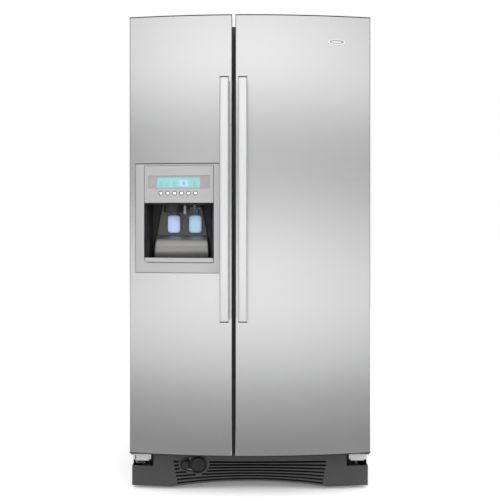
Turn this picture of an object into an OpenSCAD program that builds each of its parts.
// Side by side refrigerator: a freezer on the left and a refrigerator on the right.
// +Z is up and the doors face -Y. The origin is on the floor, at the centre of the footprint.
// Millimetres. Each module is one sub-part, drawn where it sits in the closed appliance.

/* [Overall] */
// Width across both doors
overall_w = 902; // [898:1:906]
// Height to the top of the doors
overall_h = 1778; // [1774:1:1790]
// Depth from the front of the handles to the back
overall_d = 857; // [855:1:865]

/* [Doors] */
// Width of the freezer door
freezer_door_w = 385; // [383:1:387]
// Gap between the doors
door_gap = 12; // [11:1:13]
// Height of the doors' lower edge
door_bottom_z = 147; // [146:1:149]
// Thickness of a door at its outer edge
door_edge_t = 52; // [51:1:54]
// How far the front bows out at the middle of the appliance
door_bow = 38; // [36:1:40]
// Thickness of the stainless door skin
skin_t = 1.5; // [1.2:0.1:2]
// Thickness of the visible edge of a door's end cap
cap_t = 4; // [3:0.5:5]
// Space that the gasket fills between door and cabinet
gasket_gap = 12; // [12:0.5:13]
// Distance of the hinge pins from the outer side of the doors
pin_inset = 18; // [17:1:19]

/* [Handles] */
// Width of a handle
handle_w = 33.5; // [30:0.5:36]
// Length of a handle
handle_len = 890; // [800:5:900]
// Height of the handles' lower end
handle_bottom_z = 649; // [640:1:660]
// How far a handle's middle stands out from the doors
handle_reach = 57; // [55:1:60]
// How much further out a handle's middle is than its ends
handle_bow = 10; // [6:1:12]
// Distance of a handle's centre line from the middle of the gap
handle_from_gap = 33.5; // [32:0.5:36]

/* [Cabinet] */
// Width of the cabinet
cabinet_w = 896; // [894:1:896]
// How far the doors stand above the cabinet
door_over_cabinet = 16; // [15:1:17]
// Thickness of the walls at the freezer's side
freezer_wall_t = 55; // [54:1:57]
// Thickness of the walls at the refrigerator's side
fridge_wall_t = 45; // [44:1:46]
// Thickness of the wall between the compartments
mullion_t = 50; // [48:1:52]
// Height of the compartments' floors
floor_z = 190; // [190:1:192]

/* [Base] */
// Height of the levelling feet's threaded studs
foot_stud_h = 86; // [80:1:88]
// Radius of the rear rollers
roller_r = 22; // [22:1:24]
// Radius of the water filter's cap
filter_cap_r = 33; // [31:1:34]

/* [Dispenser] */
// Left and right sides of the dispenser's frame
bezel_x = [-427, -110];
// Bottom and top of the dispenser's frame
bezel_z = [824, 1227];
// Radius of the six control buttons
button_r = 5.5; // [5:0.5:6]
// Distance between the control buttons
button_pitch = 25.9; // [24:0.1:27]

/* [Hidden] */

fine = 240;             // facets of the wide bows
round_fn = 48;          // facets of ordinary round parts
seam = 0.2;             // parting line between neighbouring sheets or slabs
fit = 0.05;             // radial running clearance of a shaft in its bore

// Depths, from the front of the handles to the back
y_front = -overall_d / 2;
y_back = overall_d / 2;
door_front_y = y_front + handle_reach;
edge_front_y = door_front_y + door_bow;
door_back_y = edge_front_y + door_edge_t;
cab_front_y = door_back_y + gasket_gap;
bow_r = (pow(overall_w / 2, 2) + pow(door_bow, 2)) / (2 * door_bow);
bow_cy = door_front_y + bow_r;

// Doors
freezer_x = [-overall_w / 2, -overall_w / 2 + freezer_door_w];
fridge_x = [freezer_x[1] + door_gap, overall_w / 2];
gap_x = freezer_x[1] + door_gap / 2;
pin_x = overall_w / 2 - pin_inset;
pin_y = door_back_y - 25;
pin_r = 5;
cap_z0 = door_bottom_z + cap_t;
cap_z1 = overall_h - cap_t;
recess_z = overall_h - 17;
liner_t = 2.5;
liner_top_z = recess_z - 3;
dike_h = 45;
dike_w = 18;
bin_wall = 3;

// Cabinet
cab_x = cabinet_w / 2;
cab_top_z = overall_h - door_over_cabinet;
shell_bottom_z = 28;
foam_bottom_z = 130;
sheet_t = 1.2;
inner_t = 2;
ceiling_z = cab_top_z - 56;
back_in_y = y_back - 57;
freezer_in_x = [-cab_x + freezer_wall_t, gap_x - mullion_t / 2];
fridge_in_x = [gap_x + mullion_t / 2, cab_x - fridge_wall_t];
hump_z = 280;
hump_y = [100, 140];
bay_y = 190;
bay_z = 232;

// Shelves, drawers and baskets
drawer_front_y = cab_front_y + 120;
shelf_zs = [960, 1200, 1440];
cover_zs = [452, 706];
freezer_shelf_zs = [560, 800, 1040, 1280];
evap_cover_y = 300;
evap_fan_x = -240;
evap_fan_z = 1345;

// Dispenser
window_x = [-394, -134];
window_z = [862, 1221.5];
cavity_top_z = 1079;
lip_top_z = 880;
bezel_proud = 4;
ice_x = -292;
water_x = -210;
paddle_pin = [-258, 1066];
chute_y = -304;         // centre of the ice chute's mouth
chute_r = 34.5;         // outer radius of the ring round the mouth
chute_wall = 2.5;
duct_low = [22, -326, -282];    // inside of the duct at its lower end: half width, front and back
duct_high = [15, -275, -247];   // the same at its upper end
duct_z = [1082.2, 1257.5];
outlet_y = -261;        // centre of the ice bin's outlet
nozzle_y = -290;
housing_z = [850, 1258];
button_z = 1119;
button_mid_x = -265.9;
band_x = [-379, -149];
band_z = [1135.5, 1182.5];
display_x = [-346, -183];
display_z = [1139, 1177.5];

// Base
kick_front_y = edge_front_y + 13;
kick_bow = 24;
kick_r = (pow(cab_x, 2) + pow(kick_bow, 2)) / (2 * kick_bow);
kick_z = [12, 143];
kick_arch = 26;
kick_flat_x = 294;
slot_reach = 289;       // half the length of the grille's top slot
notch_z = 88;
filter_xz = [-196, 100];
filter_button_xz = [-243, 97];
filter_button_r = 18;
foot_xy = [415, -235];
foot_stud_r = 6;
roller_xy = [415, 385];
roller_w = 22;
axle_r = 4;
rail_z = [60, 129];
tray_z = 55;
filter_r = 25;
filter_end_y = -38;
fan_centre = [20, 315, 150];
fan_r = 70;
evap_fan_r = 50;
gland_xz = [400, 90];
gland_r = [3.6, 8.8];   // bore and collar of the mains lead's gland
inlet_xz = [-350, 100];
hinge_arm_z = cab_top_z + 2;
hinge_arm_t = 4;

// ---------- helpers ----------

// A box from its lowest to its highest corner.
module span(lo, hi) {
    translate(lo) cube(hi - lo);
}

// A cylinder along Y from y0 to y1.
module y_cyl(r, x, z, y0, y1) {
    translate([x, y0, z]) rotate([-90, 0, 0]) cylinder(r = r, h = y1 - y0, $fn = round_fn);
}

// A cylinder along X from x0 to x1.
module x_cyl(r, y, z, x0, x1) {
    translate([x0, y, z]) rotate([0, 90, 0]) cylinder(r = r, h = x1 - x0, $fn = round_fn);
}

// Extrudes a side profile, drawn with Y across and Z up, along X.
module along_x(x0, x1) {
    translate([x0, 0, 0]) rotate([90, 0, 90]) linear_extrude(x1 - x0) children();
}

// Extrudes a front view, drawn with X across and Z up, backwards along Y.
module along_y(y0, y1) {
    translate([0, y1, 0]) rotate([90, 0, 0]) linear_extrude(y1 - y0) children();
}

// Plan view between two sides, bounded in front by the doors' bow, moved out by proud.
module bow_plan(xs, back_y, proud = 0) {
    intersection() {
        translate([0, bow_cy]) circle(r = bow_r + proud, $fn = fine);
        translate([xs[0], door_front_y - 20]) square([xs[1] - xs[0], back_y - door_front_y + 20]);
    }
}

// A plate that follows the bow, from proud in front of the skin to deep behind it.
module bow_plate(xs, zs, proud, deep) {
    translate([0, 0, zs[0]]) linear_extrude(zs[1] - zs[0]) difference() {
        bow_plan(xs, door_back_y, proud);
        translate([0, bow_cy]) circle(r = bow_r - deep, $fn = fine);
    }
}

// Depth of the bowed front at x, moved out by proud.
function bow_y(x, proud = 0) = bow_cy - sqrt(pow(bow_r + proud, 2) - x * x);

// An open-topped tray: a box without its top.
module tray(lo, hi, wall) {
    difference() {
        span(lo, hi);
        span(lo + [wall, wall, wall], [hi[0] - wall, hi[1] - wall, hi[2] + 1]);
    }
}

// A round tube swept along points, carrying its section without twist.
function unit(v) = v / norm(v);
function tangent(p, i) =
    i == 0 ? unit(p[1] - p[0]) :
    i == len(p) - 1 ? unit(p[i] - p[i - 1]) :
    unit(unit(p[i + 1] - p[i]) + unit(p[i] - p[i - 1]));
function flatten_to(n, t) = unit(n - (n * t) * t);
function carried(p, start) = [
    for (i = 0, n = flatten_to(start, tangent(p, 0)); i < len(p);
         i = i + 1, n = i < len(p) ? flatten_to(n, tangent(p, i)) : n) n
];
module tube(p, r, start = [0, 0, 1], sides = 8) {
    ns = carried(p, start);
    last = len(p) - 1;
    points = [
        for (i = [0:last], k = [0:sides - 1])
            let (a = 360 * k / sides, side = cross(tangent(p, i), ns[i]))
            p[i] + r * (cos(a) * ns[i] + sin(a) * side)
    ];
    walls = [
        for (i = [0:last - 1], k = [0:sides - 1])
            let (a = i * sides + k, b = i * sides + (k + 1) % sides)
            [a, a + sides, b + sides, b]
    ];
    ends = [[for (k = [0:sides - 1]) k], [for (k = [sides - 1:-1:0]) last * sides + k]];
    polyhedron(points = points, faces = concat(walls, ends), convexity = 6);
}

// A serpentine of straight passes along Y joined by half rounds, lying flat at height z.
function serpentine(x0, pitch, passes, y0, y1, z) = [
    for (i = [0:passes - 1])
        let (x = x0 + i * pitch, up = i % 2 == 0, far = up ? y1 : y0, sgn = up ? 1 : -1)
        each concat(
            [[x, up ? y0 : y1, z], [x, far, z]],
            i == passes - 1 ? [] :
            [for (a = [30:30:150]) [x + pitch / 2 - cos(a) * pitch / 2, far + sgn * sin(a) * pitch / 2, z]]
        )
];

// ---------- cabinet ----------

// Painted steel: two sides, the top, the deck underneath, and the front strips that the gaskets close on.
module cabinet_shell() {
    color("dimgray") {
        side_top = cab_top_z - sheet_t - seam;
        for (s = [-1, 1]) {
            x0 = s * cab_x;
            x1 = s * (cab_x - sheet_t);
            span([min(x0, x1), cab_front_y, shell_bottom_z], [max(x0, x1), y_back, side_top]);
        }
        span([-cab_x, cab_front_y, cab_top_z - sheet_t], [cab_x, y_back, cab_top_z]);
        span([-cab_x + sheet_t + seam, cab_front_y + sheet_t + seam, foam_bottom_z],
            [cab_x - sheet_t - seam, bay_y, foam_bottom_z + sheet_t]);
        front_strip([-cab_x + sheet_t + seam, freezer_in_x[0] - inner_t]);
        front_strip([freezer_in_x[1] + inner_t, fridge_in_x[0] - inner_t]);
        front_strip([fridge_in_x[1] + inner_t, cab_x - sheet_t - seam]);
        for (xs = [freezer_in_x, fridge_in_x]) {
            x = [xs[0] - inner_t + seam, xs[1] + inner_t - seam];
            span([x[0], cab_front_y, foam_bottom_z], [x[1], cab_front_y + sheet_t, floor_z - inner_t]);
            span([x[0], cab_front_y, ceiling_z + inner_t], [x[1], cab_front_y + sheet_t, side_top]);
        }
    }
}

module front_strip(xs) {
    span([xs[0], cab_front_y, foam_bottom_z], [xs[1], cab_front_y + sheet_t, cab_top_z - sheet_t - seam]);
}

// Foam slabs between the shell and the liners.
module insulation() {
    color("khaki") {
        y0 = cab_front_y + sheet_t;
        y1 = y_back - sheet_t - seam;
        top = cab_top_z - sheet_t - seam;
        side = cab_x - sheet_t;
        back = back_in_y + inner_t;
        low = foam_bottom_z + sheet_t + seam;
        slope_gap = 1.1;    // keeps the foam behind the liner's sloping wall
        for (x = [[-side, freezer_in_x[0] - inner_t], [freezer_in_x[1] + inner_t, fridge_in_x[0] - inner_t],
                [fridge_in_x[1] + inner_t, side]]) {
            span([x[0], y0, low], [x[1], bay_y, top]);
            span([x[0], bay_y + seam, bay_z], [x[1], y1, top]);
        }
        for (xs = [freezer_in_x, fridge_in_x]) {
            x = [xs[0] - inner_t + seam, xs[1] + inner_t - seam];
            floor_top = floor_z - inner_t;
            span([x[0], y0, ceiling_z + inner_t], [x[1], y1, top]);
            span([x[0], back, hump_z - inner_t], [x[1], y1, ceiling_z + inner_t - seam]);
            span([x[0], y0, low], [x[1], hump_y[0] + slope_gap - seam, floor_top]);
            along_x(x[0], x[1]) polygon([
                [hump_y[0] + slope_gap, low], [bay_y, low], [bay_y, hump_z - inner_t],
                [hump_y[1] + slope_gap, hump_z - inner_t], [hump_y[0] + slope_gap, floor_top]
            ]);
            span([x[0], bay_y + seam, bay_z], [x[1], y1, hump_z - inner_t - seam]);
        }
    }
}

// The side profile of a compartment, grown outwards by t, with the step over the compressor.
module cavity_profile(t, front) {
    polygon([
        [front, floor_z - t], [hump_y[0] + t * 0.4, floor_z - t], [hump_y[1] + t * 0.4, hump_z - t],
        [back_in_y + t, hump_z - t], [back_in_y + t, ceiling_z + t], [front, ceiling_z + t]
    ]);
}

module liner(xs) {
    t = inner_t - 2 * seam;
    difference() {
        along_x(xs[0] - t, xs[1] + t) cavity_profile(t, cab_front_y);
        along_x(xs[0], xs[1]) cavity_profile(0, cab_front_y - 1);
    }
}

module freezer_liner() {
    color("white") liner(freezer_in_x);
}

module fridge_liner() {
    color("white") liner(fridge_in_x);
}

module rear_panel() {
    color("silver") difference() {
        span([-cab_x + sheet_t + seam, y_back - sheet_t, bay_z + 28],
            [cab_x - sheet_t - seam, y_back, cab_top_z - sheet_t - seam]);
        for (i = [0:5]) translate([136 * i - 340, 0, 700])
            span([-12, y_back - 0.6, 0], [12, y_back + 1, 780]);
    }
}

// Galvanised chassis: two rails, the front crossbar, the compressor tray and the roller brackets.
module base_frame() {
    color("silver") difference() {
        union() {
            for (s = [-1, 1]) scale([s, 1, 1]) rail();
            difference() {
                span([-397, cab_front_y + 8, rail_z[0]], [397, cab_front_y + 11, rail_z[1]]);
                y_cyl(filter_cap_r + 4, filter_xz[0], filter_xz[1], cab_front_y, cab_front_y + 20);
                for (x = [-60:70:290]) span([x, cab_front_y, 76], [x + 50, cab_front_y + 20, 116]);
            }
            span([-400, bay_y + 28, tray_z - 3], [400, y_back - 6, tray_z]);
        }
        for (s = [-1, 1]) translate([s * foot_xy[0], foot_xy[1], 0])
            cylinder(r = foot_stud_r + fit, h = 90, $fn = round_fn);
        for (x = [195, 305], y = [260, 370]) translate([x, y, 40]) cylinder(r = 4, h = 30, $fn = round_fn);
    }
}

module rail() {
    x0 = 396;
    x1 = cab_x - sheet_t - 2;
    difference() {
        union() {
            translate([0, y_back - 10, 0]) rotate([90, 0, 0]) linear_extrude(y_back - 10 - cab_front_y - 8)
                polygon([
                    [x1, 40], [x1, rail_z[1]], [x0, rail_z[1]], [x0, rail_z[1] - 3],
                    [x1 - 3, rail_z[1] - 3], [x1 - 3, rail_z[0] + 3], [x0, rail_z[0] + 3],
                    [x0, rail_z[0]], [x1 - 3, rail_z[0]], [x1 - 3, 40]
                ]);
            translate([foot_xy[0], foot_xy[1], rail_z[0] + 3]) cylinder(r = 13, h = 9, $fn = 6);
            for (x = [roller_xy[0] - 16, roller_xy[0] + 13])
                span([x, roller_xy[1] - 16, 10], [x + 3, roller_xy[1] + 16, rail_z[0]]);
            x_cyl(axle_r, roller_xy[1], roller_r, roller_xy[0] - 20, roller_xy[0] + 20);
        }
        span([x0 - 5, bay_y - 2, rail_z[1] - 3.5], [x1 - 3, y_back, rail_z[1] + 1]);
    }
}

// Black grille below the doors: bowed, arched underneath, with curved slots and the filter's surround.
module base_grille() {
    color([0.13, 0.13, 0.13]) difference() {
        union() {
            kick_shell(kick_z);
            for (s = [-1, 1]) {
                x0 = s * (cab_x - 4);
                span([min(x0, s * cab_x), kick_front_y + kick_bow - 2, kick_z[0]],
                    [max(x0, s * cab_x), cab_front_y - 1, notch_z]);
            }
            filter_surround();
        }
        for (s = [-1, 1]) {
            x = [s * 366, s * (cab_x + 1)];
            span([min(x), kick_front_y - 10, notch_z], [max(x), cab_front_y + 1, kick_z[1] + 1]);
        }
        arch_cut();
        difference() {
            for (k = [0:6]) slot(k);
            along_y(kick_front_y - 20, cab_front_y) filter_outline(5);
        }
        along_y(kick_front_y - 20, cab_front_y) filter_outline(-2.2);
    }
}

module kick_shell(zs) {
    translate([0, 0, zs[0]]) linear_extrude(zs[1] - zs[0]) difference() {
        kick_plan(0);
        kick_plan(3.5);
    }
}

module kick_plan(inset) {
    intersection() {
        translate([0, kick_front_y + kick_r]) circle(r = kick_r - inset, $fn = fine);
        translate([-cab_x, kick_front_y - 5]) square([2 * cab_x, kick_bow + 5 + inset * 3]);
    }
}

module filter_outline(grow) {
    hull() {
        translate(filter_xz) circle(r = filter_cap_r + 3 + grow, $fn = round_fn);
        translate(filter_button_xz) circle(r = filter_button_r + 3 + grow, $fn = round_fn);
    }
}

// A raised collar round the filter's cap and button, cut off under the doors.
module filter_surround() {
    intersection() {
        along_y(kick_front_y + 1, kick_front_y + 14) filter_outline(0);
        span([-300, kick_front_y - 10, 40], [-100, kick_front_y + 20, kick_z[1]]);
    }
}

// The lower edge rises in an arc between the two flat ends.
module arch_cut() {
    steps = 24;
    along_y(kick_front_y - 20, cab_front_y - 10) polygon(concat(
        [[-kick_flat_x, kick_z[0] - 5]],
        [for (i = [0:steps]) let (x = -kick_flat_x + 2 * kick_flat_x * i / steps)
            [x, kick_z[0] + kick_arch * (1 - pow(x / kick_flat_x, 2))]],
        [[kick_flat_x, kick_z[0] - 5]]
    ));
}

// One slot, counted from the top. The slots draw together towards the middle.
function slot_z(k, x) =
    let (end_z = 106 - 13.8 * k, mid_z = 108 - 10.2 * k)
    mid_z + (end_z - mid_z) * pow(x / slot_reach, 2);
module slot(k) {
    half = 2.6 - 0.1 * k;
    reach = slot_reach - 2.2 * k;
    xs = [for (i = [-8:8]) reach * i / 8];
    along_y(kick_front_y - 20, cab_front_y - 10) polygon(concat(
        [for (x = xs) [x, slot_z(k, x) - half]],
        [for (i = [len(xs) - 1:-1:0]) [xs[i], slot_z(k, xs[i]) + half]]
    ));
}

// Vented sheet that closes the machine compartment, with the mains lead's gland.
module machine_cover() {
    x = cab_x - sheet_t - 1;
    y = [y_back - sheet_t, y_back - seam];
    vent = [40, 6];     // length and height of one vent
    color("silver") {
        difference() {
            span([-x, y[0], 32], [x, y[1], bay_z + 26]);
            for (i = [0:9], z = [80, 100, 155, 175]) translate([62 * i - 250, y[0] - 1, z])
                cube([vent[0], 4, vent[1]]);
            y_cyl(22, inlet_xz[0], inlet_xz[1], y[0] - 1, y_back + 1);
            y_cyl(gland_r[1] + seam, gland_xz[0], gland_xz[1], y[0] - 1, y_back + 1);
        }
        difference() {
            y_cyl(gland_r[1], gland_xz[0], gland_xz[1], y_back - 16, y_back - 0.1);
            y_cyl(gland_r[0], gland_xz[0], gland_xz[1], y_back - 17, y_back + 1);
        }
    }
}

module compressor() {
    centre = [250, 315];
    color([0.08, 0.08, 0.08]) difference() {
        union() {
            translate([centre[0], centre[1], 66]) rotate_extrude($fn = 72) polygon(concat(
                [[0, 0], [52, 0]],
                [for (a = [-70:10:0]) [52 + 22 * cos(a), 22 + 22 * sin(a)]],
                [for (a = [0:10:80]) [74 * cos(a), 96 + 40 * sin(a)]],
                [[0, 136]]
            ));
            span([centre[0] - 70, centre[1] - 70, 62], [centre[0] + 70, centre[1] + 70, 66.5]);
            for (x = [-55, 55], y = [-55, 55])
                translate([centre[0] + x, centre[1] + y, 55]) cylinder(r = 10, h = 8, $fn = round_fn);
            span([centre[0] - 92, centre[1] - 24, 95], [centre[0] - 60, centre[1] + 24, 150]);
        }
        for (x = [-55, 55], y = [-55, 55])
            translate([centre[0] + x, centre[1] + y, 54]) cylinder(r = 4, h = 30, $fn = round_fn);
    }
}

// Serpentine tube under the cabinet floor.
module condenser() {
    color([0.1, 0.1, 0.1]) {
        tube(serpentine(-96, 34, 14, -190, 150, 84), 3.2, [0, 0, 1], 8);
        for (y = [-120, 80]) span([-104, y, 87.4], [354, y + 2, foam_bottom_z - seam]);
    }
}

// Shroud with its round mouth, and the motor on three arms behind it.
module fan_bracket() {
    x = fan_centre[0];
    color("gray") {
        difference() {
            span([x - 10, bay_y + 32, 55.2], [x + 10, y_back - 8, bay_z - 4]);
            x_cyl(fan_r + 4, fan_centre[1], fan_centre[2], x - 20, x + 20);
        }
        x_cyl(26, fan_centre[1], fan_centre[2], x + 24, x + 60);
        x_cyl(3, fan_centre[1], fan_centre[2], x - 8, x + 25);
        span([x + 30, fan_centre[1] - 8, 55.2], [x + 50, fan_centre[1] + 8, fan_centre[2] - 20]);
        span([x + 9, fan_centre[1] - 8, 55.2], [x + 50, fan_centre[1] + 8, 60]);
    }
}

// Hub and pitched blades about local Z, with a shaft bore.
module rotor(tip_r, hub_r, h, blades, bore) {
    difference() {
        union() {
            cylinder(r = hub_r, h = h, center = true, $fn = round_fn);
            for (i = [0:blades - 1]) rotate([0, 0, 360 * i / blades]) intersection() {
                translate([tip_r / 2, 0, 0]) rotate([34, 0, 0]) cube([tip_r, h * 1.5, 1.6], center = true);
                cylinder(r = tip_r - 0.5, h = h * 2, center = true, $fn = round_fn);
            }
        }
        cylinder(r = bore, h = h + 2, center = true, $fn = round_fn);
    }
}

module condenser_fan() {
    color("white") translate(fan_centre) rotate([0, 90, 0]) rotor(fan_r, 17, 16, 5, 3 + fit);
}

// Inlet valve, filter head and the tube between them and up to the freezer door's lower hinge.
module water_line() {
    color("lightsteelblue") {
        valve = [inlet_xz[0], 383, inlet_xz[1]];
        span(valve - [22, 21, 22], valve + [22, 21, 22]);
        span([valve[0] - 15, valve[1] - 3, tray_z + 0.1], [valve[0] + 15, valve[1] + 1, 79]);
        y_cyl(7, valve[0], valve[2], 403, 424);
        translate([valve[0], valve[1], 121]) cylinder(r = 15, h = 30, $fn = round_fn);
        difference() {
            y_cyl(29, filter_xz[0], filter_xz[1], filter_end_y - 46, filter_end_y + 18);
            y_cyl(filter_r + 0.6, filter_xz[0], filter_xz[1], filter_end_y - 47, filter_end_y + 4);
        }
        span([-204, -60, 126], [-188, -30, foam_bottom_z - seam]);
        tube([
            [-pin_x, pin_y, 138.8], [-pin_x, pin_y, 124], [-432, -303, 110], [-429, -293, 98],
            [-421, -278, 91], [-396, -240, 88], [-360, -180, 88], [-320, -100, 88], [-285, -20, 90],
            [-255, 20, 94], [-228, 30, 99], [-211, 18, 103], [-206, 0, 104], [-206, -20.5, 104]
        ], 3.2, [1, 0, 0]);
        tube([
            [-186, -20.5, 104], [-186, 0, 104], [-188, 40, 102], [-200, 100, 95], [-235, 180, 90],
            [-290, 260, 88], [-330, 310, 90], [-348, 338, 96], [-350, 352, 99], [-350, 362.5, 100]
        ], 3.2, [1, 0, 0]);
    }
}

// ---------- hinges ----------

module top_hinge() {
    difference() {
        union() {
            translate([pin_x, pin_y, hinge_arm_z]) cylinder(r = 12, h = hinge_arm_t, $fn = round_fn);
            span([pin_x - 7, pin_y, hinge_arm_z], [pin_x + 7, cab_front_y + 14, hinge_arm_z + hinge_arm_t]);
            span([345, cab_front_y + 13, cab_top_z],
                [cab_x - 4, cab_front_y + 90, hinge_arm_z + hinge_arm_t]);
        }
        span([340, cab_front_y + 60, cab_top_z - 1], [400, cab_front_y + 95, cab_top_z + 10]);
    }
    translate([pin_x, pin_y, hinge_arm_z - 24]) cylinder(r = pin_r, h = 24.5, $fn = round_fn);
    for (p = [[365, 36], [420, 36], [420, 72]])
        translate([p[0], cab_front_y + p[1], hinge_arm_z + hinge_arm_t]) cylinder(r = 5, h = 3, $fn = 6);
}

module hinge_covers() {
    color("dimgray") for (s = [-1, 1]) scale([s, 1, 1]) difference() {
        span([338, cab_front_y + 3, cab_top_z], [cab_x - 1, cab_front_y + 98, overall_h - 1]);
        span([341, cab_front_y + 2, cab_top_z - 1], [cab_x - 3.5, cab_front_y + 95, overall_h - 4]);
    }
}

module bottom_hinge() {
    front = pin_y - 24;
    span([378, front, 139], [cab_x - 1, cab_front_y, 143]);
    span([378, front, 118.6], [427, front + 4, 139.5]);
    span([380, cab_front_y - 4, 101], [cab_x - 2, cab_front_y, 139.5]);
    translate([pin_x, pin_y, 142.5]) cylinder(r = pin_r, h = 26, $fn = round_fn);
    translate([pin_x, pin_y, 142.5]) cylinder(r = 9, h = 3.5, $fn = round_fn);
    for (x = [395, 430]) y_cyl(5, x, 112, cab_front_y - 7, cab_front_y - 3.9);
}

module hinges() {
    color("silver") for (s = [-1, 1]) scale([s, 1, 1]) {
        top_hinge();
        bottom_hinge();
    }
}

// ---------- doors ----------

module door_skin(xs, hinge_side) {
    outer = hinge_side * overall_w / 2;
    difference() {
        translate([0, 0, cap_z0]) linear_extrude(cap_z1 - cap_z0) difference() {
            bow_plan(xs, door_back_y - liner_t - seam);
            bow_plan([xs[0] + skin_t, xs[1] - skin_t], door_back_y, -skin_t);
        }
        span([outer - 5, pin_y - 20, recess_z - 3 - seam], [outer + 5, door_back_y + 1, overall_h]);
    }
}

module freezer_door_skin() {
    color("gainsboro") difference() {
        door_skin(freezer_x, -1);
        span([window_x[0] - 2, door_front_y - 5, window_z[0] - 2],
            [window_x[1] + 2, door_back_y, window_z[1] + 2]);
    }
}

module fridge_door_skin() {
    color("gainsboro") door_skin(fridge_x, 1);
}

// Bottom and top caps, with the bushes for the hinge pins and the recess for the top hinge's arm.
module door_caps(xs, hinge_side) {
    px = hinge_side * pin_x;
    inner = [xs[0] + skin_t + seam, xs[1] - skin_t - seam];
    tub_in = px - hinge_side * 17;
    tub_out = hinge_side * (overall_w / 2 - skin_t - seam);
    tub_y = [pin_y - 23, door_back_y - liner_t - seam];
    difference() {
        union() {
            translate([0, 0, door_bottom_z]) linear_extrude(cap_t) bow_plan(xs, door_back_y);
            span([min(tub_in, tub_out), tub_y[0], door_bottom_z + 1],
                [max(tub_in, tub_out), tub_y[1], door_bottom_z + 26]);
        }
        translate([px, pin_y, door_bottom_z - 1]) cylinder(r = pin_r + fit, h = 30, $fn = round_fn);
    }
    difference() {
        union() {
            translate([0, 0, cap_z1]) linear_extrude(cap_t) bow_plan(xs, door_back_y);
            span([min(tub_in, tub_out), tub_y[0], recess_z - 26],
                [max(tub_in, tub_out), tub_y[1], cap_z1 + 1]);
            span([inner[0] + (hinge_side < 0 ? 20 : 0), door_back_y - liner_t, liner_top_z + seam],
                [inner[1] - (hinge_side > 0 ? 20 : 0), door_back_y, cap_z1 + 1]);
        }
        span([min(px - hinge_side * 14, px + hinge_side * 30), pin_y - 20, recess_z],
            [max(px - hinge_side * 14, px + hinge_side * 30), door_back_y + 5, overall_h + 1]);
        translate([px, pin_y, recess_z - 30]) cylinder(r = pin_r + fit, h = 40, $fn = round_fn);
    }
}

module freezer_door_caps() {
    color("dimgray") door_caps(freezer_x, -1);
}

module fridge_door_caps() {
    color("dimgray") door_caps(fridge_x, 1);
}

// Ring of soft magnetic seal.
module gasket(xs) {
    z0 = door_bottom_z + 8;
    z1 = cab_top_z - 4;
    w = 14;
    difference() {
        span([xs[0], door_back_y, z0], [xs[1], cab_front_y - 0.4, z1]);
        span([xs[0] + w, door_back_y - 1, z0 + w], [xs[1] - w, cab_front_y, z1 - w]);
        span([xs[0] + 4, door_back_y + 5, z0 + 4], [xs[1] - 4, door_back_y + 7, z1 - 4]);
    }
    span([xs[0] + 6, door_back_y + 4.9, z0 + 6], [xs[1] - 6, door_back_y + 7.1, z0 + w - 6]);
    span([xs[0] + 6, door_back_y + 4.9, z1 - w + 6], [xs[1] - 6, door_back_y + 7.1, z1 - 6]);
    span([xs[0] + 6, door_back_y + 4.9, z0 + 6], [xs[0] + w - 6, door_back_y + 7.1, z1 - 6]);
    span([xs[1] - w + 6, door_back_y + 4.9, z0 + 6], [xs[1] - 6, door_back_y + 7.1, z1 - 6]);
}

module freezer_gasket() {
    color("gray") gasket([-pin_x + 3, freezer_x[1] - 2]);
}

module fridge_gasket() {
    color("gray") gasket([fridge_x[0] + 2, pin_x - 3]);
}

// The raised rims inside the doors.
freezer_rim = [freezer_in_x[0] + 6, freezer_in_x[1] - 16];
fridge_rim = [fridge_in_x[0] + 16, fridge_in_x[1] - 6];
dike_z = [floor_z + 10, ceiling_z - 10];
dike_y = door_back_y + dike_h;

module fridge_door_liner() {
    color("white") {
        span([fridge_x[0] + 0.5, door_back_y - liner_t, cap_z0],
            [fridge_x[1] - 0.5, door_back_y, liner_top_z]);
        difference() {
            span([fridge_rim[0], door_back_y - 1, dike_z[0]], [fridge_rim[1], dike_y, dike_z[1]]);
            span([fridge_rim[0] + dike_w, door_back_y - 2, dike_z[0] + dike_w],
                [fridge_rim[1] - dike_w, dike_y + 1, dike_z[1] - dike_w]);
        }
    }
}

// Slabs: the sheet round the dispenser's housing, the rim below and above it, and the housing's walls.
module freezer_door_liner() {
    in_x = [freezer_rim[0] + 3, window_x[1] + 5];
    in_z = [housing_z[0] + 3, housing_z[1] - 3];
    sheet_x = [freezer_x[0] + 0.5, freezer_x[1] - 0.5];
    sheet_y = door_back_y - liner_t;
    rim_y = door_back_y + seam;
    bar_x = [freezer_rim[0] + dike_w, freezer_rim[1] - dike_w];
    color("white") {
        span([sheet_x[0], sheet_y, cap_z0], [sheet_x[1], door_back_y, in_z[0] - seam]);
        span([sheet_x[0], sheet_y, in_z[1] + seam], [sheet_x[1], door_back_y, liner_top_z]);
        span([sheet_x[0], sheet_y, in_z[0]], [in_x[0], door_back_y, in_z[1]]);
        span([in_x[1], sheet_y, in_z[0]], [sheet_x[1], door_back_y, in_z[1]]);
        for (z = [[dike_z[0], housing_z[0] - seam], [housing_z[1] + seam, dike_z[1]]]) {
            span([freezer_rim[0], rim_y, z[0]], [bar_x[0], dike_y, z[1]]);
            span([bar_x[1], rim_y, z[0]], [freezer_rim[1], dike_y, z[1]]);
        }
        for (z = [dike_z[0], dike_z[1] - dike_w])
            span([bar_x[0] + seam, rim_y, z], [bar_x[1] - seam, dike_y, z + dike_w]);
        span([freezer_rim[0], rim_y, housing_z[0]], [in_x[0], dike_y, housing_z[1]]);
        span([in_x[1], rim_y, housing_z[0]], [freezer_rim[1], dike_y, housing_z[1]]);
        span([in_x[0] + seam, rim_y, housing_z[0]], [in_x[1] - seam, dike_y, in_z[0]]);
        span([in_x[0] + seam, dike_y - 2.5, in_z[0] + seam], [in_x[1] - seam, dike_y, in_z[1] - seam]);
        housing_top([in_x[0] + seam, in_x[1] - seam], [rim_y, dike_y], [in_z[1], housing_z[1]]);
    }
}

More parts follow.
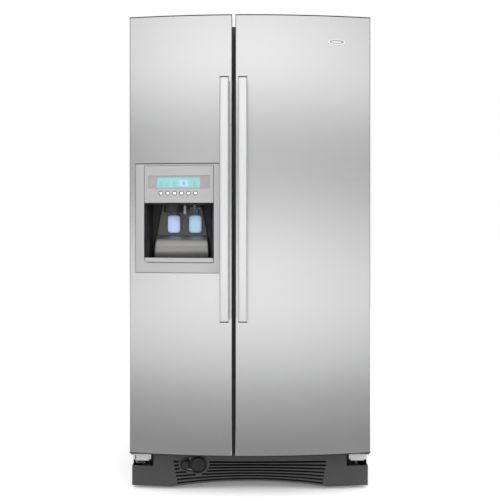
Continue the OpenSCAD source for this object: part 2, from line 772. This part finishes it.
// Four strips round the opening that the ice duct comes up through.
module housing_top(x, y, z) {
    half = duct_high[0] + chute_wall + 0.5;
    front = duct_high[1] - chute_wall - 1.5;
    back = duct_high[2] + chute_wall + 0.5;
    span([x[0], y[0], z[0]], [ice_x - half, y[1], z[1]]);
    span([ice_x + half, y[0], z[0]], [x[1], y[1], z[1]]);
    span([ice_x - half + seam, y[0], z[0]], [ice_x + half - seam, front, z[1]]);
    span([ice_x - half + seam, back, z[0]], [ice_x + half - seam, y[1], z[1]]);
}

// Handle: a slightly bowed bar seen from the side as an arc band.
function handle_y(z) =
    y_front + handle_bow * pow((z - handle_bottom_z - handle_len / 2) / (handle_len / 2), 2);
handle_t = 16;
mount_h = 30;
module handle_bar(x) {
    steps = 24;
    zs = [for (i = [0:steps]) handle_bottom_z + cap_t + (handle_len - 2 * cap_t) * i / steps];
    along_x(x - handle_w / 2, x + handle_w / 2) polygon(concat(
        [for (z = zs) [handle_y(z), z]],
        [for (i = [steps:-1:0]) [handle_y(zs[i]) + handle_t, zs[i]]]
    ));
}

// Standoffs between bar and door, and the bar's end caps.
module handle_mounts(x) {
    top = handle_bottom_z + handle_len;
    back = bow_y(x);
    for (z = [handle_bottom_z, top - mount_h]) difference() {
        span([x - handle_w / 2 + 2, y_front + handle_bow + handle_t + 0.05, z + 1],
            [x + handle_w / 2 - 2, back + 5, z + mount_h - 1]);
        translate([0, 0, z - 1]) linear_extrude(mount_h + 2) bow_plan([x - 40, x + 40], door_back_y);
    }
    for (z = [handle_bottom_z, top - cap_t + 0.2])
        span([x - handle_w / 2, y_front + handle_bow - 0.4, z],
            [x + handle_w / 2, y_front + handle_bow + handle_t + 4, z + cap_t - 0.2]);
}

freezer_handle_x = gap_x - handle_from_gap;
fridge_handle_x = gap_x + handle_from_gap;

module freezer_handle() {
    color("whitesmoke") handle_bar(freezer_handle_x);
}

module fridge_handle() {
    color("whitesmoke") handle_bar(fridge_handle_x);
}

module freezer_handle_mounts() {
    color("gray") handle_mounts(freezer_handle_x);
}

module fridge_handle_mounts() {
    color("gray") handle_mounts(fridge_handle_x);
}

// ---------- dispenser ----------

module dispenser_bezel() {
    color("silver") difference() {
        bow_plate(bezel_x, bezel_z, bezel_proud, 0);
        span([window_x[0], door_front_y - 20, window_z[0]], [window_x[1], door_back_y, window_z[1]]);
    }
}

// The recess: a tapered tub with the water nozzle and the paddles' pins, and the ice chute above it.
module dispenser_cavity() {
    color([0.2, 0.2, 0.2]) {
        recess_tub();
        difference() {
            translate([ice_x, chute_y, 1050]) cylinder(r = chute_r, h = 28.8, $fn = round_fn);
            translate([ice_x, chute_y, 1049]) cylinder(r = chute_r - chute_wall, h = 31, $fn = round_fn);
        }
        ice_duct();
    }
}

module recess_tub() {
    nozzle_z = cavity_top_z - 19;
    difference() {
        union() {
            difference() {
                intersection() {
                    cavity_taper(0);
                    translate([0, 0, 800]) linear_extrude(500)
                        bow_plan([-440, -90], door_back_y + 60, -skin_t);
                }
                cavity_taper(3);
            }
            translate([water_x, nozzle_y, nozzle_z]) cylinder(r = 7, h = 40, $fn = round_fn);
        }
        translate([water_x, nozzle_y, nozzle_z - 1]) cylinder(r = 3, h = 42, $fn = round_fn);
        span([ice_x - duct_low[0], duct_low[1], cavity_top_z - 1],
            [ice_x + duct_low[0], duct_low[2], cavity_top_z + 5]);
    }
    for (x = [ice_x, water_x]) {
        x_cyl(3, paddle_pin[0], paddle_pin[1], x - 29, x + 29);
        for (s = [-1, 1]) span([x + s * 27 - 2, paddle_pin[0] - 6, paddle_pin[1] - 6],
            [x + s * 27 + 2, -243, paddle_pin[1] + 6]);
    }
    intersection() {
        x_cyl(120, -155, 915, -372, -156);
        span([-372, -268, 870], [-156, -243.5, 962]);
    }
}

// The recess's outline grown inwards by t: wide at the front, narrower at the back.
module cavity_taper(t) {
    hull() {
        span([window_x[0] + t, -400, window_z[0] + 3 + t], [window_x[1] - t, -399, cavity_top_z - t + 3]);
        span([window_x[0] + 15 + t, -242 - t, window_z[0] + 3 + t],
            [window_x[1] - 15 - t, -241 - t, cavity_top_z - t + 3]);
    }
}

// Four walls of the duct that leads the ice forward and down from the bin, wider at its mouth.
module ice_duct() {
    w = chute_wall;
    lo = duct_low;
    hi = duct_high;
    duct_wall([-lo[0], lo[0]], [lo[1] - w, lo[1]], [-hi[0], hi[0]], [hi[1] - w, hi[1]]);
    duct_wall([-lo[0], lo[0]], [lo[2], lo[2] + w], [-hi[0], hi[0]], [hi[2], hi[2] + w]);
    for (s = [-1, 1]) {
        a = s * (lo[0] + seam);
        b = s * (hi[0] + seam);
        duct_wall([min(a, a + s * w), max(a, a + s * w)], [lo[1] - w, lo[2] + w],
            [min(b, b + s * w), max(b, b + s * w)], [hi[1] - w, hi[2] + w]);
    }
}

// One wall, from its plan at the duct's lower end to its plan at the upper end; x counts from the ice chute.
module duct_wall(low_x, low_y, high_x, high_y) {
    hull() {
        span([ice_x + low_x[0], low_y[0], duct_z[0]], [ice_x + low_x[1], low_y[1], duct_z[0] + 0.5]);
        span([ice_x + high_x[0], high_y[0], duct_z[1] - 0.5], [ice_x + high_x[1], high_y[1], duct_z[1]]);
    }
}

module control_panel() {
    color("silver") difference() {
        bow_plate([window_x[0] + 0.5, window_x[1] - 0.5], [cavity_top_z + 4, window_z[1] - 0.5], 3.5, 4);
        bow_plate(band_x, band_z, 10, -2);
        span([display_x[0] - 0.5, -400, display_z[0] - 0.5],
            [display_x[1] + 0.5, -300, display_z[1] + 0.5]);
        for (i = [0:5]) y_cyl(button_r + 0.4, button_x(i), button_z, -400, -300);
    }
}

module display() {
    color("paleturquoise") bow_plate(display_x, display_z, 1.5, 3.5);
}

function button_x(i) = button_mid_x + (i - 2.5) * button_pitch;

module button(i) {
    y = bow_y(button_x(i), 3.5);
    color("white") y_cyl(button_r, button_x(i), button_z, y - 1.6, y + 8);
}

// Paddle: a knuckle on its pin, an arm and a soft pad that a glass pushes back.
module paddle(x) {
    color("lightblue") difference() {
        union() {
            x_cyl(6, paddle_pin[0], paddle_pin[1], x - 23, x + 23);
            span([x - 11, paddle_pin[0] - 3, 1030], [x + 11, paddle_pin[0] + 3, paddle_pin[1]]);
            span([x - 23.5, -276, 971], [x + 23.5, -262, 1037]);
            span([x - 11, -263, 1020], [x + 11, paddle_pin[0] + 3, 1037]);
        }
        x_cyl(3 + fit, paddle_pin[0], paddle_pin[1], x - 30, x + 30);
    }
}

// The catch tray with its front lip and a slotted top.
module drip_tray() {
    color("silver") {
        bow_plate([window_x[0] + 0.6, window_x[1] - 0.6], [window_z[0] + 0.6, lip_top_z], 8, 1);
        difference() {
            intersection() {
                span([-371, -366, 868.5], [-157, -270, 876]);
                translate([0, 0, 860]) linear_extrude(40) bow_plan([-440, -90], door_back_y + 60, -0.5);
            }
            for (i = [0:12]) span([-362 + 16 * i, -346, 872], [-353 + 16 * i, -282, 877]);
        }
    }
}

// ---------- inside the compartments ----------

module evaporator_cover() {
    color("white") {
        difference() {
            span([freezer_in_x[0] + 2, evap_cover_y, hump_z + 4],
                [freezer_in_x[1] - 2, evap_cover_y + 3, 1450]);
            y_cyl(evap_fan_r + 4, evap_fan_x, evap_fan_z, evap_cover_y - 5, evap_cover_y + 10);
            for (z = [330:16:394]) span([-360, evap_cover_y - 1, z], [-120, evap_cover_y + 5, z + 8]);
        }
        translate([evap_fan_x, evap_cover_y, evap_fan_z]) rotate([-90, 0, 0]) {
            translate([0, 0, 18]) cylinder(r = 20, h = 27, $fn = round_fn);
            translate([0, 0, 1]) cylinder(r = 2.5, h = 18, $fn = round_fn);
            for (a = [90, 210, 330]) rotate([0, 0, a]) {
                translate([15, -3, 19]) cube([49, 6, 4]);
                translate([58, -3, 1]) cube([6, 6, 22]);
            }
        }
    }
}

module evaporator() {
    y = 336;
    color("silver") {
        for (k = [0:7]) x_cyl(4, y, 430 + 80 * k, freezer_in_x[0] + 15, freezer_in_x[1] - 15);
        for (k = [0:6]) {
            x = k % 2 == 0 ? freezer_in_x[0] + 17 : freezer_in_x[1] - 17;
            translate([x, y, 430 + 80 * k]) cylinder(r = 4, h = 80, $fn = round_fn);
        }
        for (i = [0:11]) span([-360 + 22 * i, y - 24, 410], [-358.5 + 22 * i, y + 24, 1010]);
        for (i = [1, 10], z = [500, 900])
            span([-360 + 22 * i, y + 23, z], [-356 + 22 * i, back_in_y - seam, z + 20]);
    }
}

module evaporator_fan() {
    color("black") translate([evap_fan_x, evap_cover_y + 9, evap_fan_z]) rotate([90, 0, 0])
        rotor(evap_fan_r, 14, 12, 4, 2.5 + fit);
}

module ice_maker() {
    x = [freezer_in_x[0] + 12, freezer_in_x[1] - 12];
    color("whitesmoke") {
        difference() {
            span([x[0] + 40, -160, 1592], [x[1], 70, 1650]);
            for (k = [0:6]) span([x[0] + 48, -150 + 30 * k, 1606], [x[1] - 8, -126 + 30 * k, 1651]);
        }
        span([x[0], -165, 1588], [x[0] + 38, 75, 1690]);
        span([x[0] + 38, 60, 1648], [x[1], 70, ceiling_z]);
        span([x[0] + 38, -160, 1652], [x[1], -150, 1680]);
    }
}

// A glass plate carried in a moulded frame.
module shelf(xs, ys, z) {
    difference() {
        span([xs[0], ys[0], z - 8], [xs[1], ys[1], z + 6]);
        span([xs[0] + 10, ys[0] + 12, z - 9], [xs[1] - 10, ys[1] - 10, z]);
        span([xs[0] + 10, ys[0] + 12, z + 4], [xs[1] - 10, ys[1] - 10, z + 7]);
    }
}

module freezer_shelves() {
    color("aliceblue") for (z = freezer_shelf_zs)
        shelf([freezer_in_x[0] + 0.5, freezer_in_x[1] - 0.5], [drawer_front_y, evap_cover_y - 2], z);
}

module fridge_shelves() {
    xs = [fridge_in_x[0] + 0.5, fridge_in_x[1] - 0.5];
    color("aliceblue") {
        for (z = shelf_zs) shelf(xs, [drawer_front_y, back_in_y - 20], z);
        for (z = cover_zs) shelf(xs, [drawer_front_y + 2, back_in_y - 20], z);
    }
}

// A drawer with the step that clears the compressor's hump, and a pull along its front.
module stepped_drawer(xs, y1, top) {
    wall = 3;
    difference() {
        union() {
            along_x(xs[0], xs[1]) drawer_profile(0, y1, top);
            along_x(xs[0], xs[1]) pull_profile(top);
        }
        along_x(xs[0] + wall, xs[1] - wall) drawer_profile(wall, y1, top + 5);
        along_x(xs[0] + 60, xs[1] - 60) pull_hollow(top);
    }
}

// The pull along a drawer's upper front edge, and the finger space behind it.
module pull_profile(top) {
    polygon([
        [drawer_front_y - 14, top], [drawer_front_y + 1, top], [drawer_front_y + 1, top - 30],
        [drawer_front_y - 10, top - 30], [drawer_front_y - 14, top - 26]
    ]);
}

module pull_hollow(top) {
    translate([drawer_front_y - 9, top - 31]) square([8.9, 27]);
}

module drawer_profile(t, y1, top) {
    step = 8;
    polygon([
        [drawer_front_y + t, floor_z + 0.5 + t], [hump_y[0] - step - t * 0.4, floor_z + 0.5 + t],
        [hump_y[1] - step - t * 0.4, hump_z + 4 + t], [y1 - t, hump_z + 4 + t],
        [y1 - t, top], [drawer_front_y + t, top]
    ]);
}

module freezer_basket() {
    color("whitesmoke") stepped_drawer([freezer_in_x[0] + 4, freezer_in_x[1] - 4], evap_cover_y - 8, 440);
}

module crisper_lower() {
    color("aliceblue")
        stepped_drawer([fridge_in_x[0] + 4, fridge_in_x[1] - 4], back_in_y - 30, cover_zs[0] - 10);
}

module crisper_upper() {
    xs = [fridge_in_x[0] + 4, fridge_in_x[1] - 4];
    z = [cover_zs[0] + 6.5, cover_zs[1] - 10];
    color("aliceblue") difference() {
        union() {
            tray([xs[0], drawer_front_y, z[0]], [xs[1], back_in_y - 30, z[1]], 3);
            along_x(xs[0], xs[1]) pull_profile(z[1]);
        }
        along_x(xs[0] + 60, xs[1] - 60) pull_hollow(z[1]);
    }
}

// ---------- on the doors ----------

function between_rims(rim) = [rim[0] + dike_w + 1, rim[1] - dike_w - 1];

module freezer_door_bins() {
    x = between_rims(freezer_rim);
    color("aliceblue") for (z = [470, 660])
        tray([x[0], door_back_y + 0.5, z], [x[1], door_back_y + 92, z + 105], bin_wall);
}

fridge_bin_zs = [760, 1000, 1240];
dairy_z = [1480, 1640];
module fridge_door_bins() {
    x = between_rims(fridge_rim);
    color("aliceblue") {
        for (z = fridge_bin_zs)
            tray([x[0], door_back_y + 0.5, z], [x[1], door_back_y + 100, z + 105], bin_wall);
        difference() {
            span([x[0], door_back_y + 0.5, dairy_z[0]], [x[1], door_back_y + 100, dairy_z[1]]);
            span([x[0] + 3, door_back_y + 3.5, dairy_z[0] + 3],
                [x[1] - 3, door_back_y + 101, dairy_z[1] - 3]);
        }
        for (s = [0, 1]) {
            xp = s == 0 ? x[0] : x[1] - 6;
            x_cyl(3, door_back_y + 94, dairy_z[1] - 12, xp, xp + 6);
        }
    }
}

// Clear flap of the dairy compartment, pivoted near its top edge inside the box.
module dairy_flap() {
    x = between_rims(fridge_rim);
    y = door_back_y + 94;
    z = dairy_z[1] - 12;
    color("aliceblue") difference() {
        union() {
            span([x[0] + 4, y - 2, dairy_z[0] + 6], [x[1] - 4, y + 2, z]);
            x_cyl(6, y, z, x[0] + 4, x[1] - 4);
            span([x[0] + 140, y + 1.5, dairy_z[0] + 6], [x[1] - 140, y + 5, dairy_z[0] + 22]);
        }
        for (s = [0, 1]) {
            xp = s == 0 ? x[0] - 1 : x[1] - 7;
            x_cyl(3 + fit, y, z, xp, xp + 8);
        }
    }
}

ice_bin_z = [housing_z[1] + 0.5, 1580];
outlet_r = 15;
auger_xy = [-262, -232];
auger_r = 4;
module ice_bin() {
    x = between_rims(freezer_rim);
    color("aliceblue") difference() {
        tray([x[0] + 1, door_back_y + 2, ice_bin_z[0]], [x[1] - 1, door_back_y + 95, ice_bin_z[1]], 3);
        translate([ice_x, outlet_y, ice_bin_z[0] - 1]) cylinder(r = outlet_r, h = 6, $fn = round_fn);
        translate([auger_xy[0], auger_xy[1], ice_bin_z[0] - 1])
            cylinder(r = auger_r + fit, h = 6, $fn = round_fn);
    }
}

// Upright drive with crusher blades at the bottom and a bent agitator above.
module ice_auger() {
    color("silver") translate([auger_xy[0], auger_xy[1], 0]) {
        translate([0, 0, ice_bin_z[0] + 0.5]) cylinder(r = auger_r, h = 230, $fn = round_fn);
        translate([0, 0, ice_bin_z[0] + 6]) cylinder(r = 14, h = 30, $fn = round_fn);
        for (i = [0:2])
            translate([0, 0, ice_bin_z[0] + 10 + 9 * i]) rotate([0, 0, 60 * i])
                cube([76, 5, 4], center = true);
        for (i = [0:4])
            translate([0, 0, ice_bin_z[0] + 60 + 36 * i]) rotate([0, 0, 72 * i]) translate([0, -2.5, 0])
                cube([36, 5, 5]);
    }
}

// ---------- base pieces that move ----------

module filter_cartridge() {
    y0 = kick_front_y - 1;
    color([0.16, 0.16, 0.16]) {
        y_cyl(filter_cap_r, filter_xz[0], filter_xz[1], y0, y0 + 22);
        y_cyl(filter_r, filter_xz[0], filter_xz[1], y0 + 21, filter_end_y);
        span([filter_xz[0] - 4, y0 - 2.5, filter_xz[1] - 24],
            [filter_xz[0] + 4, y0 + 1, filter_xz[1] + 24]);
    }
}

module filter_button() {
    color([0.16, 0.16, 0.16]) difference() {
        y_cyl(filter_button_r, filter_button_xz[0], filter_button_xz[1], kick_front_y, kick_front_y + 20);
        y_cyl(filter_cap_r + 1, filter_xz[0], filter_xz[1], kick_front_y - 5, kick_front_y + 25);
    }
}

module foot(s) {
    color("gray") translate([s * foot_xy[0], foot_xy[1], 0]) {
        cylinder(r = 18, h = 9, $fn = round_fn);
        translate([0, 0, 8]) cylinder(r = foot_stud_r, h = foot_stud_h - 8, $fn = round_fn);
        translate([0, 0, 9]) cylinder(r = 11, h = 8, $fn = 6);
    }
}

module rear_roller(s) {
    x = s * roller_xy[0];
    color([0.2, 0.2, 0.2]) difference() {
        x_cyl(roller_r, roller_xy[1], roller_r, x - roller_w / 2, x + roller_w / 2);
        x_cyl(axle_r + fit, roller_xy[1], roller_r, x - 20, x + 20);
    }
}

cabinet_shell();
insulation();
freezer_liner();
fridge_liner();
rear_panel();
base_frame();
base_grille();
machine_cover();
compressor();
condenser();
fan_bracket();
condenser_fan();
water_line();
hinges();
hinge_covers();
evaporator_cover();
evaporator();
evaporator_fan();
ice_maker();
freezer_shelves();
fridge_shelves();
freezer_basket();
crisper_upper();
crisper_lower();
freezer_door_skin();
freezer_door_liner();
freezer_door_caps();
freezer_gasket();
freezer_handle();
freezer_handle_mounts();
freezer_door_bins();
ice_bin();
ice_auger();
dispenser_bezel();
dispenser_cavity();
control_panel();
display();
button(0);  // button_1
button(1);  // button_2
button(2);  // button_3
button(3);  // button_4
button(4);  // button_5
button(5);  // button_6
paddle(ice_x);  // ice_paddle
paddle(water_x);  // water_paddle
drip_tray();
fridge_door_skin();
fridge_door_liner();
fridge_door_caps();
fridge_gasket();
fridge_handle();
fridge_handle_mounts();
fridge_door_bins();
dairy_flap();
filter_cartridge();
filter_button();
foot(-1);  // foot_left
foot(1);  // foot_right
rear_roller(-1);  // rear_roller_left
rear_roller(1);  // rear_roller_right
